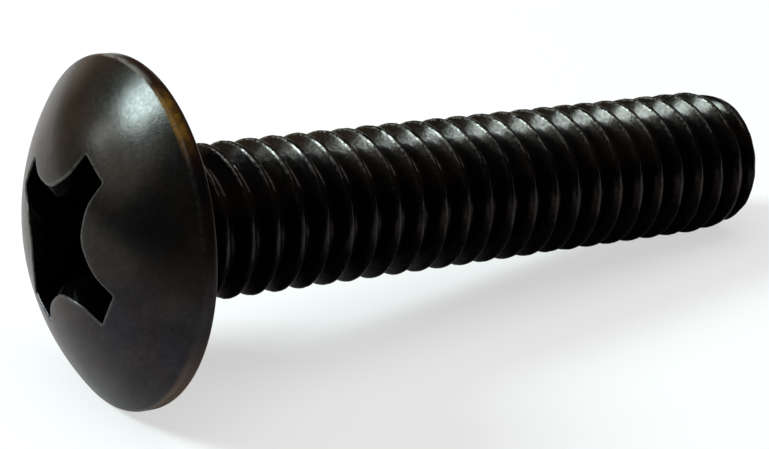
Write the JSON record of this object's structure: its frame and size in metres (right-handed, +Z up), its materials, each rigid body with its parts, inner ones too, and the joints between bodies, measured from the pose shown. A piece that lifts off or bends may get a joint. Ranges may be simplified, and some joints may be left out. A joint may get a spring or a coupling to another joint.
{
  "type": "truss head machine screw",
  "caption": "Machine screw with a wide low domed truss head, cross recess, and a fully threaded shank with a bevelled tip.",
  "frame": {"origin": "on the ground under the middle of the screw's bounding box, as it lies at rest", "axes": "+X along the screw from head to tip as seen from above, +Z up; the screw's own axis dips 7.6 degrees toward the tip"},
  "size_m": [0.0416, 0.017, 0.017],
  "materials": {
    "black_steel": "black oxide, satin, worn to brown and bare steel on edges and crests"
  },
  "bodies": {
    "root": {"truss_screw": "black_steel"}
  },
  "joints": []
}
